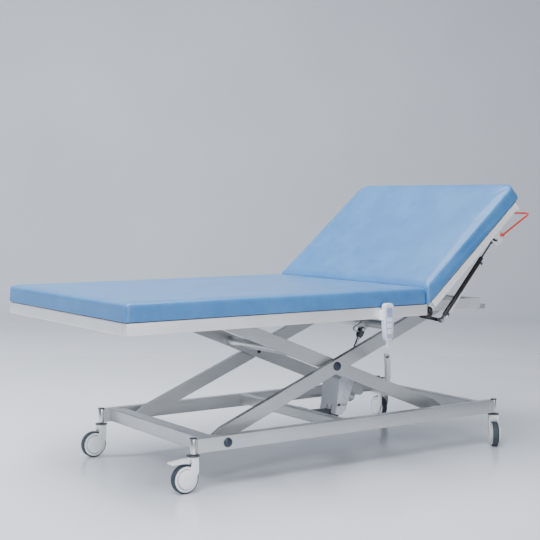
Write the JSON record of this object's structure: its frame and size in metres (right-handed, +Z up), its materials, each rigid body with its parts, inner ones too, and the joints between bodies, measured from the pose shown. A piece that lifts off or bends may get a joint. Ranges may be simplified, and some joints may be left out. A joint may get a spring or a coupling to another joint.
{
  "type": "medical exam table",
  "caption": "Height-adjustable medical exam table with a padded top, tilting backrest, scissor lift, actuator, hand control and casters.",
  "frame": {"origin": "middle of the bounding box in X and Y, on the floor under the wheels", "axes": "+X toward the head end along the length, +Y toward the side without the hand control, +Z up"},
  "size_m": [1.8898, 1.0266, 1.1031],
  "materials": {
    "frame_steel": "satin",
    "dark_steel": "satin",
    "pivot_caps": "satin",
    "nylon": "matte",
    "board": "matte",
    "vinyl": "satin",
    "white_plastic": "satin",
    "keys": "satin",
    "motor_grey": "satin",
    "black_steel": "gloss",
    "bright_rod": "gloss",
    "red_paint": "gloss",
    "cord": "matte",
    "caster_plastic": "satin",
    "tyre": "matte"
  },
  "bodies": {
    "base": {"base_beam_near": "frame_steel", "base_beam_far": "frame_steel", "base_cross_foot": "frame_steel", "base_cross_mid": "frame_steel", "base_cross_head": "frame_steel", "actuator_bracket": "dark_steel", "base_pivot_pin_near": "pivot_caps", "base_pivot_pin_far": "pivot_caps"},
    "outer_arms": {"outer_arm_near": "frame_steel", "outer_arm_far": "frame_steel", "outer_cross_tube": "frame_steel", "mid_pivot_pin_near": "pivot_caps", "mid_pivot_pin_far": "pivot_caps"},
    "inner_arms": {"inner_arm_near": "frame_steel", "inner_arm_far": "frame_steel", "inner_cross_tube": "frame_steel", "cord_clip": "dark_steel"},
    "upper_frame": {"top_rail_near": "frame_steel", "top_rail_far": "frame_steel", "top_cross_foot": "frame_steel", "top_cross_hinge": "frame_steel", "top_outrigger_near": "frame_steel", "top_outrigger_far": "frame_steel", "scissor_rail_near": "frame_steel", "scissor_rail_far": "frame_steel", "sub_head_cross": "dark_steel", "seat_board": "board", "seat_pad": "vinyl", "handset_cradle": "white_plastic", "cord_straight": "cord", "cord_coil": "cord"},
    "backrest": {"back_rail_near": "frame_steel", "back_rail_far": "frame_steel", "back_cross_low": "frame_steel", "back_cross_top": "frame_steel", "back_board": "board", "back_pad": "vinyl"},
    "release_bail": {"release_bail": "red_paint"},
    "strut_cylinder": {"strut_cylinder": "black_steel"},
    "strut_rod": {"strut_rod": "bright_rod"},
    "actuator_housing": {"actuator_housing": "motor_grey"},
    "actuator_rod": {"actuator_rod": "black_steel"},
    "handset": {"handset_body": "white_plastic"},
    "key_up": {"handset_key_up": "keys"},
    "key_down": {"handset_key_down": "keys"},
    "roller_upper_near": {"roller_upper_near": "nylon"},
    "roller_upper_far": {"roller_upper_far": "nylon"},
    "roller_lower_near": {"roller_lower_near": "nylon"},
    "roller_lower_far": {"roller_lower_far": "nylon"},
    "caster_fork_foot_near": {"caster_fork_foot_near": "caster_plastic"},
    "caster_wheel_foot_near": {"caster_wheel_foot_near": "tyre"},
    "caster_fork_foot_far": {"caster_fork_foot_far": "caster_plastic"},
    "caster_wheel_foot_far": {"caster_wheel_foot_far": "tyre"},
    "caster_fork_head_near": {"caster_fork_head_near": "caster_plastic"},
    "caster_wheel_head_near": {"caster_wheel_head_near": "tyre"},
    "caster_fork_head_far": {"caster_fork_head_far": "caster_plastic"},
    "caster_wheel_head_far": {"caster_wheel_head_far": "tyre"},
    "brake_pedal_foot_near": {"brake_pedal_foot_near": "caster_plastic"},
    "brake_pedal_head_far": {"brake_pedal_head_far": "caster_plastic"}
  },
  "joints": [
    {"name": "lift", "type": "hinge", "parent": "base", "child": "outer_arms", "pos_m": [-0.4739, 0.0133, 0.1645], "axis": [0, -1, 0], "range_deg": [-7.5, 9.5]},
    {"name": "scissor", "type": "hinge", "parent": "outer_arms", "child": "inner_arms", "pos_m": [0.0806, 0.0133, 0.38575], "axis": [0, -1, 0], "range_deg": [-19.5, 15.5]},
    {"name": "table_top", "type": "hinge", "parent": "inner_arms", "child": "upper_frame", "pos_m": [-0.4739, 0.0133, 0.607], "axis": [0, -1, 0], "range_deg": [-8, 10]},
    {"name": "actuator_tilt", "type": "hinge", "parent": "base", "child": "actuator_housing", "pos_m": [0.2271, 0.0133, 0.158], "axis": [0, -1, 0], "range_deg": [-13.78, 17.32]},
    {"name": "actuator_stroke", "type": "slide", "parent": "actuator_housing", "child": "actuator_rod", "axis": [0.4407, 0, 0.8976], "range_m": [-0.0847, 0.10701]},
    {"name": "backrest_tilt", "type": "hinge", "parent": "upper_frame", "child": "backrest", "pos_m": [0.3901, 0.0133, 0.603], "axis": [0, -1, 0], "range_deg": [-40.4, 19.6]},
    {"name": "strut_tilt", "type": "hinge", "parent": "upper_frame", "child": "strut_cylinder", "pos_m": [0.4791, -0.4367, 0.557], "axis": [0, -1, 0], "range_deg": [-45.71, 22.43]},
    {"name": "strut_stroke", "type": "slide", "parent": "strut_cylinder", "child": "strut_rod", "axis": [0.6691, 0, 0.7431], "range_m": [-0.06148, 0.03034]},
    {"name": "bail_pull", "type": "hinge", "parent": "backrest", "child": "release_bail", "pos_m": [0.78612, 0.0133, 0.89001], "axis": [0, -1, 0], "range_deg": [0, 9], "stiffness_Nm_per_rad": 12, "springref_deg": -5.73},
    {"name": "roller_upper_near_spin", "type": "hinge", "parent": "outer_arms", "child": "roller_upper_near", "pos_m": [0.6351, -0.3437, 0.607], "axis": [0, 1, 0], "continuous": true},
    {"name": "roller_upper_far_spin", "type": "hinge", "parent": "outer_arms", "child": "roller_upper_far", "pos_m": [0.6351, 0.3703, 0.607], "axis": [0, 1, 0], "continuous": true},
    {"name": "roller_lower_near_spin", "type": "hinge", "parent": "inner_arms", "child": "roller_lower_near", "pos_m": [0.6351, -0.3117, 0.1645], "axis": [0, 1, 0], "continuous": true},
    {"name": "roller_lower_far_spin", "type": "hinge", "parent": "inner_arms", "child": "roller_lower_far", "pos_m": [0.6351, 0.3383, 0.1645], "axis": [0, 1, 0], "continuous": true},
    {"name": "handset_lift_off", "type": "slide", "parent": "upper_frame", "child": "handset", "axis": [0, 0, 1], "range_m": [0, 0.02]},
    {"name": "key_up_press", "type": "slide", "parent": "handset", "child": "key_up", "axis": [0, 1, 0], "range_m": [0, 0.0015], "stiffness_N_per_m": 400, "springref_m": -0.0005},
    {"name": "key_down_press", "type": "slide", "parent": "handset", "child": "key_down", "axis": [0, 1, 0], "range_m": [0, 0.0015], "stiffness_N_per_m": 400, "springref_m": -0.0005},
    {"name": "caster_foot_near_swivel", "type": "hinge", "parent": "base", "child": "caster_fork_foot_near", "pos_m": [-0.6089, -0.3472, 0.13], "axis": [0, 0, 1], "continuous": true},
    {"name": "caster_foot_near_roll", "type": "hinge", "parent": "caster_fork_foot_near", "child": "caster_wheel_foot_near", "pos_m": [-0.6439, -0.3472, 0.0515], "axis": [0, 1, 0], "continuous": true},
    {"name": "caster_foot_far_swivel", "type": "hinge", "parent": "base", "child": "caster_fork_foot_far", "pos_m": [-0.6089, 0.3738, 0.13], "axis": [0, 0, 1], "continuous": true},
    {"name": "caster_foot_far_roll", "type": "hinge", "parent": "caster_fork_foot_far", "child": "caster_wheel_foot_far", "pos_m": [-0.6439, 0.3738, 0.0515], "axis": [0, 1, 0], "continuous": true},
    {"name": "caster_head_near_swivel", "type": "hinge", "parent": "base", "child": "caster_fork_head_near", "pos_m": [0.8661, -0.3472, 0.13], "axis": [0, 0, 1], "continuous": true},
    {"name": "caster_head_near_roll", "type": "hinge", "parent": "caster_fork_head_near", "child": "caster_wheel_head_near", "pos_m": [0.84553, -0.37552, 0.0515], "axis": [-0.809, 0.5878, 0], "continuous": true},
    {"name": "caster_head_far_swivel", "type": "hinge", "parent": "base", "child": "caster_fork_head_far", "pos_m": [0.8661, 0.3738, 0.13], "axis": [0, 0, 1], "continuous": true},
    {"name": "caster_head_far_roll", "type": "hinge", "parent": "caster_fork_head_far", "child": "caster_wheel_head_far", "pos_m": [0.86915, 0.40867, 0.0515], "axis": [0.9962, -0.0872, 0], "continuous": true},
    {"name": "brake_foot_near", "type": "hinge", "parent": "caster_fork_foot_near", "child": "brake_pedal_foot_near", "pos_m": [-0.6299, -0.3472, 0.114], "axis": [0, -1, 0], "range_deg": [0, 6]},
    {"name": "brake_head_far", "type": "hinge", "parent": "caster_fork_head_far", "child": "brake_pedal_head_far", "pos_m": [0.86793, 0.39472, 0.114], "axis": [-0.9962, 0.0872, 0], "range_deg": [0, 6]}
  ],
  "couplings": [
    {"joint": "scissor", "follows": "lift", "ratio": -2},
    {"joint": "table_top", "follows": "lift", "ratio": 1},
    {"joint": "actuator_tilt", "follows": "lift", "ratio": 1.7708},
    {"joint": "actuator_stroke", "follows": "lift", "m_per_rad": 0.63939},
    {"joint": "strut_tilt", "follows": "backrest_tilt", "ratio": 1.1191},
    {"joint": "strut_stroke", "follows": "backrest_tilt", "m_per_rad": 0.08578}
  ]
}
